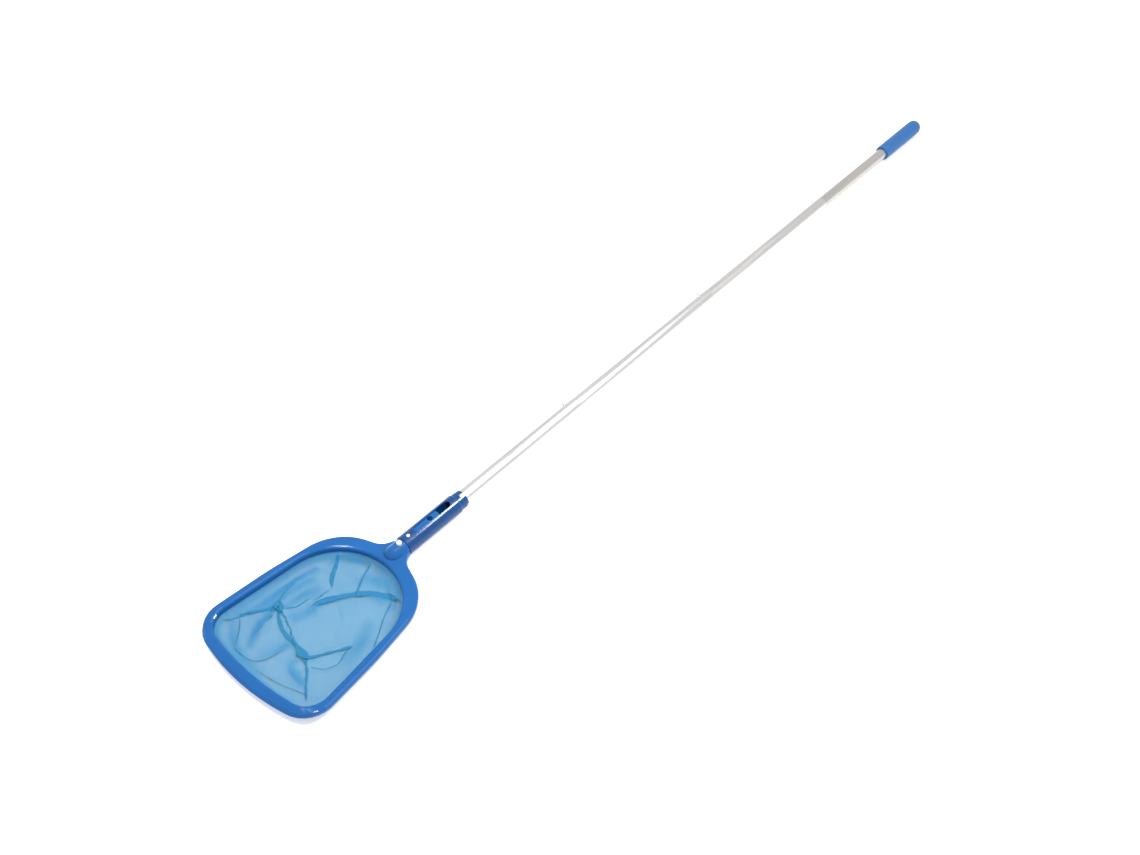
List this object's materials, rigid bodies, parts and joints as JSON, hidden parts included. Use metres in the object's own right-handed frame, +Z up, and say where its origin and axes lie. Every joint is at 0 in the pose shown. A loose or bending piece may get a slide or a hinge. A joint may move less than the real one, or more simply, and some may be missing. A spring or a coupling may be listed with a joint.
{
  "type": "leaf skimmer net",
  "caption": "Flat leaf skimmer: moulded scoop frame with a shallow mesh bag, quick-release coupling sleeve and a sectional tube pole with a round-ended hand grip.",
  "frame": {"origin": "centre of the bounding box at floor level, with the skimmer lying flat on its net", "axes": "+Y along the pole from the net to the grip, +Z up out of the open side of the net, +X to the right"},
  "size_m": [0.2601, 1.8691, 0.0354],
  "materials": {
    "rim_plastic": "glossy",
    "sleeve_plastic": "satin",
    "net_mesh": "fine open mesh",
    "clip_plastic": "satin",
    "pole_tube": "anodised, satin",
    "snap_steel": "plain",
    "grip_vinyl": "matt"
  },
  "bodies": {
    "head": {"skimmer_frame": "rim_plastic", "net_bag": "net_mesh", "net_hem_bead": "net_mesh", "net_retaining_ring": "rim_plastic", "clip_spring": "clip_plastic"},
    "release_leg": {"release_leg": "clip_plastic"},
    "sleeve": {"coupling_sleeve": "sleeve_plastic"},
    "section_1": {"pole_section_1": "pole_tube"},
    "section_2": {"pole_section_2": "pole_tube", "snap_spring_1": "snap_steel"},
    "section_3": {"pole_section_3": "pole_tube", "snap_spring_2": "snap_steel"},
    "section_4": {"pole_section_4": "pole_tube", "snap_spring_3": "snap_steel", "hand_grip": "grip_vinyl"},
    "button_1": {"snap_button_1": "snap_steel"},
    "button_2": {"snap_button_2": "snap_steel"},
    "button_3": {"snap_button_3": "snap_steel"}
  },
  "joints": [
    {"name": "release_press", "type": "hinge", "parent": "head", "child": "release_leg", "pos_m": [0, -0.5725, 0.0259], "axis": [1, 0, 0], "range_deg": [0, 5.5], "stiffness_Nm_per_rad": 1.5},
    {"name": "sleeve_slide", "type": "slide", "parent": "head", "child": "sleeve", "axis": [0, 1, 0], "range_m": [0, 0.08], "deforming": ["release_leg"]},
    {"name": "pole_slide", "type": "slide", "parent": "sleeve", "child": "section_1", "axis": [0, 1, 0], "range_m": [0, 0.03]},
    {"name": "joint_1_slide", "type": "slide", "parent": "section_1", "child": "section_2", "axis": [0, 1, 0], "range_m": [-0.236, 0.066], "deforming": ["snap_button_1", "snap_spring_1"]},
    {"name": "joint_2_slide", "type": "slide", "parent": "section_2", "child": "section_3", "axis": [0, 1, 0], "range_m": [-0.32, 0.066], "deforming": ["snap_button_2", "snap_spring_2"]},
    {"name": "joint_3_slide", "type": "slide", "parent": "section_3", "child": "section_4", "axis": [0, 1, 0], "range_m": [-0.228, 0.066], "deforming": ["snap_button_3", "snap_spring_3"]},
    {"name": "button_1_press", "type": "slide", "parent": "section_2", "child": "button_1", "axis": [0.766, 0, -0.6428], "range_m": [0, 0.0057], "stiffness_N_per_m": 700, "deforming": ["snap_spring_1"]},
    {"name": "button_2_press", "type": "slide", "parent": "section_3", "child": "button_2", "axis": [0.766, 0, -0.6428], "range_m": [0, 0.0057], "stiffness_N_per_m": 700, "deforming": ["snap_spring_2"]},
    {"name": "button_3_press", "type": "slide", "parent": "section_4", "child": "button_3", "axis": [0.766, 0, -0.6428], "range_m": [0, 0.0057], "stiffness_N_per_m": 700, "deforming": ["snap_spring_3"]}
  ]
}
